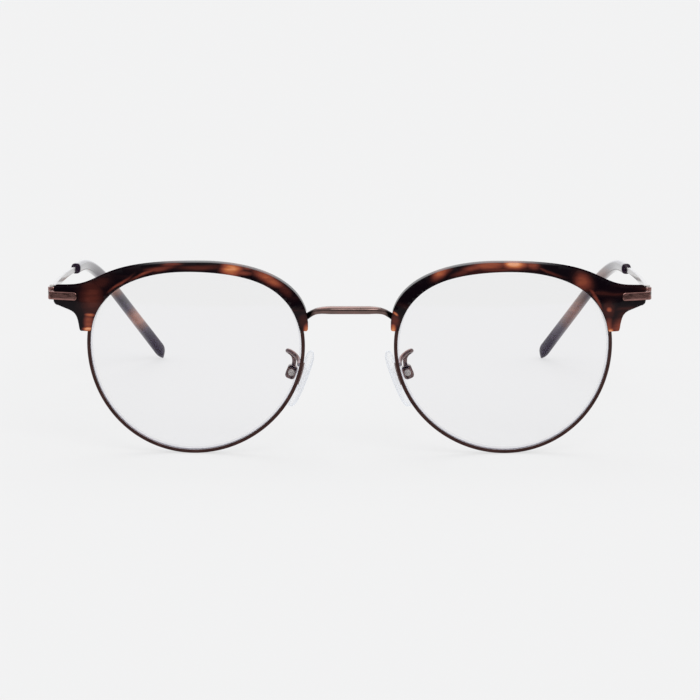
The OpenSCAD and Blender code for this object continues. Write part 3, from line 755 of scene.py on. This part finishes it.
for side, sign in sides:
    bm = plate(plaque_outline(), -brow_front - plaque_proud, -brow_front + plaque_sunk, 0.14, 0.0, 3)
    follow_front(bm, 0.5)
    arm_front = on_front(lug_end_x, hinge[2], -brow_front)[1]
    join(bm, block((bar_start_x, arm_front + 0.1, hinge[2] - plaque_h / 2),
        (bar_end_x, hinge[1] - knuckle_r - 0.1, hinge[2] + plaque_h / 2), 0.12))
    for low, high, link_low, link_high in (
        (knuckle_low, knuckle_high, knuckle_low, plaque_h / 2),
        (-knuckle_high, -knuckle_low, -plaque_h / 2, -knuckle_low)):
        join(bm, barrel(knuckle_r, low, high, 0.1))
        join(bm, block((bar_start_x, hinge[1] - knuckle_r - 0.3, hinge[2] + link_low),
            (bar_end_x, hinge[1], hinge[2] + link_high), 0.06))
    settle(bm, f"end_bar_{side}", sign, "front", "rose_metal", (rose_metal,), f"endpiece_{side}")

# The temples
# A flat tapered side of the same antique brown metal under a clear coat, with the middle hinge knuckle
# at its front end. Behind, it runs on as a wire inside the acetate tip.

strip_t = 0.9
strip_x = hinge[0] + 0.1
temple_bow = 1.1
strip_l = 65
strip_rear_h = 1.3
end_trim = 0.12
tip_start = Vector((strip_x, hinge[1] + strip_l, 33.5))


def strip_middle(at):
    """The middle of the flat side, from the hinge to the tip, bowed outwards in one arc."""
    front, rear = hinge[1] + knuckle_r + 0.1, tip_start[1] + 0.3
    half = (rear - front) / 2
    bow_r = half * half / (2 * temple_bow) + temple_bow / 2
    off = (2 * at - 1) * half
    return Vector((strip_x + temple_bow - bow_r + math.sqrt(bow_r ** 2 - off ** 2), front + half + off,
        hinge[2] * (1 - at) + tip_start[2] * at))


def soft_bar(wide, tall, r, steps=4):
    """A rectangle with rounded corners."""
    w, h = wide / 2 - r, tall / 2 - r
    return (arc((w, h), r, 0, 90, steps) + arc((-w, h), r, 90, 180, steps)
        + arc((-w, -h), r, 180, 270, steps) + arc((w, -h), r, 270, 360, steps))


for side, sign in sides:
    rings = []
    for i in range(49):
        at = i / 48
        trim = 1 - end_trim if i in (0, 48) else 1
        centre = strip_middle(at)
        along = (strip_middle(at + 0.01) - strip_middle(at - 0.01)).normalized()
        across = along.cross(Vector((0, 0, 1))).normalized()
        tall = plaque_h * (1 - at) + strip_rear_h * at
        rings.append([centre + x * across + Vector((0, 0, z))
            for x, z in soft_bar(strip_t * trim, tall * trim, 0.2)])
    bm = bmesh.new()
    loft(bm, rings)
    join(bm, barrel(knuckle_r, -knuckle_h / 2, knuckle_h / 2, 0.08))
    join(bm, block((strip_x - strip_t / 2, hinge[1] + 0.5, hinge[2] - knuckle_h / 2),
        (strip_x + strip_t / 2, hinge[1] + knuckle_r + 0.5, hinge[2] + knuckle_h / 2), 0.06))
    settle(bm, f"side_{side}", sign, f"temple_{side}", "dark_metal", (antique,), f"temple_{side}")

# The tips
# Tortoise acetate in brown and amber, its dark parts painted more violet than the browline's as a painted
# sheen, slid over the temple's wire, bent down behind the ear and inwards, and polished to a blunt end
# that rests on the table.

bend_y = 94
tip_end_x = 51.7
tip_end_y = 140
tip_t = 2.4
tip_front_h = 2.6
tip_rear_h = 3.4
tip_round = 3
tip_droop = 1.2
slope = (hinge[2] - tip_start[2]) / strip_l
knee = Vector((strip_x - 1.9, bend_y + 6, tip_start[2] - slope * (bend_y + 6 - tip_start[1])))


def oval(wide, tall, power, count):
    """A closed line between an ellipse, at power 2, and a rectangle, at a high power."""
    points = []
    for i in range(count):
        a = 2 * math.pi * i / count
        c, s = math.cos(a), math.sin(a)
        points.append((wide / 2 * math.copysign(abs(c) ** (2 / power), c),
            tall / 2 * math.copysign(abs(s) ** (2 / power), s)))
    return points


def tip_path(end_z):
    """The middle line of a tip whose end is at this height."""
    end = Vector((tip_end_x, tip_end_y, end_z))
    before, after = knee.lerp(tip_start, 0.7), knee.lerp(end, 0.36)
    return ([tip_start, tip_start.lerp(before, 0.04), tip_start.lerp(before, 0.5), before]
        + bezier((before, before.lerp(knee, 0.7), after.lerp(knee, 0.7), after), 8)
        + [after.lerp(end, t) for t in (0.2, 0.4, 0.6, 0.75, 0.87, 0.93, 0.97, 1)])


def tip_rings(end_z):
    path = tip_path(end_z)
    rings = []
    for i, point in enumerate(path):
        share = i / (len(path) - 1)
        left = (path[-1] - point).length
        round_off = math.sqrt(1 - (1 - left / tip_round) ** 2 * 0.93) if left < tip_round else 1
        start = 0.86 if i == 0 else 1
        along = (path[min(i + 1, len(path) - 1)] - path[max(i - 1, 0)]).normalized()
        across = along.cross(Vector((0, 0, 1))).normalized()
        rise = across.cross(along)
        tall = tip_front_h + (tip_rear_h - tip_front_h) * share ** 0.8
        centre = point - Vector((0, 0, tip_droop * (1 - round_off)))
        rings.append([centre + x * across + z * rise
            for x, z in oval(tip_t * round_off * start, tall * round_off * start, 2.6, 32)])
    return rings


def lowest(rings):
    return min(point[2] for ring in rings for point in ring)


# The tip's end is let down in two steps until its lowest spot is on the table.
tip_end_z = 3 - lowest(tip_rings(3))
tip_end_z -= lowest(tip_rings(tip_end_z))


def closer(rings, steps):
    """More rings in between, on a smooth curve through the given ones."""
    run = []
    last = len(rings) - 1
    for i in range(last):
        a, b, c, d = rings[max(i - 1, 0)], rings[i], rings[i + 1], rings[min(i + 2, last)]
        for k in range(steps):
            t = k / steps
            run.append([(2 * q + t * (r - p) + t * t * (2 * p - 5 * q + 4 * r - s)
                + t ** 3 * (3 * q - p - 3 * r + s)) / 2 for p, q, r, s in zip(a, b, c, d)])
    return run + [rings[last]]


for side, sign in sides:
    bm = bmesh.new()
    loft(bm, closer(tip_rings(tip_end_z), 4))
    settle(bm, f"ear_tip_{side}", sign, f"temple_{side}", "acetate", (tip_acetate,), f"tip_{side}", sharp=50)

# The pad arms
# A round wire from a foot on the back of each rim, looped so that it can be bent to fit, ends in a small
# pressed box with two ears. The pad's tab rocks between them on a screw.

pad_axis = Vector((13.65, 8.6, 18.2))
pad_lean = math.radians(22)
pad_splay = math.radians(6)
box_w = 2.4
box_h = 3.2
box_d = 2.4
box_r = 0.8
lid_z = 1.02
tab_w = 1.1
wire_d = 1
pad_turn = Matrix.Translation(pad_axis) @ Matrix.Rotation(-pad_lean, 4, "Y")

wire_foot = (11.75, 1.6, 21)
wire_rise = (13.0, 5.2, 23)
wire_loop = (14.2, 7.9, 23)
wire_end = pad_axis + Vector((-0.5, 0, 1.5))
wire_line = ([Vector(wire_foot)]
    + bezier((wire_foot, (11.6, 3.2, 21.6), (12.0, 4.2, 22.3), wire_rise), 14)
    + bezier((wire_rise, (14.0, 6.2, 23.7), (15.1, 7.0, 23.7), wire_loop), 18)
    + bezier((wire_loop, (13.4, 8.6, 22.4), (12.7, 8.8, 21.6), wire_end), 16))
foot_turns = (189, 192, 195, 198, 201)

for side, sign in sides:
    bm = bmesh.new()
    sweep(bm, wire_line, oval(wire_d, wire_d, 2, 20), (1, -1, 0.3))
    foot = [lens_edge(a, 1.1) for a in foot_turns] + [lens_edge(a, 0.1) for a in foot_turns[::-1]]
    pressed = plate(foot, rim_d / 2 - 0.05, rim_d / 2 + 0.8, 0.0, 0.3, 3)
    follow_front(pressed)
    join(bm, pressed)
    ear = soft_bar(box_w, box_h, box_r, 8)
    lid_x = box_w / 2 - 0.1
    lid = [Vector((lid_x, lid_z))] + [p for p in ear if p[1] > lid_z] + [Vector((-lid_x, lid_z))]
    for outline, low, high in (
        (ear, -box_d / 2, -tab_w / 2), (ear, tab_w / 2, box_d / 2), (lid, -box_d / 2, box_d / 2)):
        part = plate(outline, low, high, 0.15, 0.15)
        bmesh.ops.transform(part, matrix=pad_turn, verts=part.verts)
        join(bm, part)
    settle(bm, f"pad_wire_{side}", sign, "front", "rose_metal", (rose_metal,), f"pad_arm_{side}")

# The nose pads
# Clear silicone moulded round a stiff core: a long rounded cushion, thin at its rim and dished a
# little towards the frame, so that it all but disappears against the skin.

pad_len = 14
pad_w = 7
pad_t = 2
pad_out = 2.8
pad_drop = 0.7

silicone = finish_named("clear_silicone")
facing = silicone.node("ShaderNodeLayerWeight", None, {"Blend": 0.5}, "Facing")
milk = silicone.noise(silicone.spot(), 60, 1)
clear_silicone = silicone.surface(
    Base_Color=silicone.ramp(milk, (0.3, (0.60, 0.66, 0.78)), (0.7, (0.72, 0.78, 0.88))),
    Roughness=0.10, Specular_IOR_Level=0.4, Alpha=facing.smooth(0.25, 1.0, 0.04, 0.46))


def pad_ring(at):
    """The cushion's outline at one height, from -1 at its lower end to 1 at its upper one."""
    wide = max(pad_w * (1 - abs(at) ** 3.6) ** 0.5 * (1 - 0.1 * at), 1.6)
    thick = max(pad_t * (1 - abs(at) ** 8) ** 0.5, 0.9)
    bow = 0.35 * (at * at - 0.5)
    return [Vector((x + bow, y, at * pad_len / 2)) for x, y in oval(thick, wide, 2.4, 40)]


pad_place = pad_turn @ Matrix.Translation((-pad_out, 0, -pad_drop)) @ Matrix.Rotation(-pad_splay, 4, "Z")
for side, sign in sides:
    bm = bmesh.new()
    loft(bm, [pad_ring(math.sin(math.radians(i * 4.5 - 90))) for i in range(41)])
    bmesh.ops.transform(bm, matrix=pad_place, verts=bm.verts)
    settle(bm, f"pad_cushion_{side}", sign, f"pad_{side}", "pad_silicone", (clear_silicone,),
        f"nose_pad_{side}", sharp=60)

# The screws and the hidden metal
# Slotted steel screws at the hinges, behind the lugs and browlines and in the pads' boxes, the rims'
# closing barrels, and the pads' cores, kept as they were drawn and given their finishes.

screw = finish_named("bright_steel")
turned = screw.noise(screw.vectors("MULTIPLY", screw.spot(), (3000, 3000, 3000)), 1.0, 2)
bright_steel = screw.surface(
    Base_Color=screw.ramp(turned, (0.3, (0.42, 0.39, 0.37)), (0.7, (0.58, 0.55, 0.53))),
    Metallic=1.0, Roughness=turned.smooth(0.3, 0.7, 0.22, 0.36))
core = finish_named("pad_core_plastic")
cloudy = core.noise(core.spot(), 900, 2)
core_plastic = core.surface(
    Base_Color=core.ramp(cloudy, (0.3, (0.62, 0.64, 0.72)), (0.7, (0.74, 0.76, 0.82))),
    Roughness=0.2, Specular_IOR_Level=0.4, Alpha=0.14)

kept_nodes = {
    "hinge_screw": bright_steel, "brow_screw": bright_steel, "endpiece_screws": bright_steel,
    "pad_screw": bright_steel, "rim_lock_screw": bright_steel, "rim_lock": antique, "pad_core": core_plastic}
for name, finish in kept_nodes.items():
    for side, sign in sides:
        mesh = frame["nodes"][f"{name}_{side}"].data
        mesh.materials.clear()
        mesh.materials.append(finish)
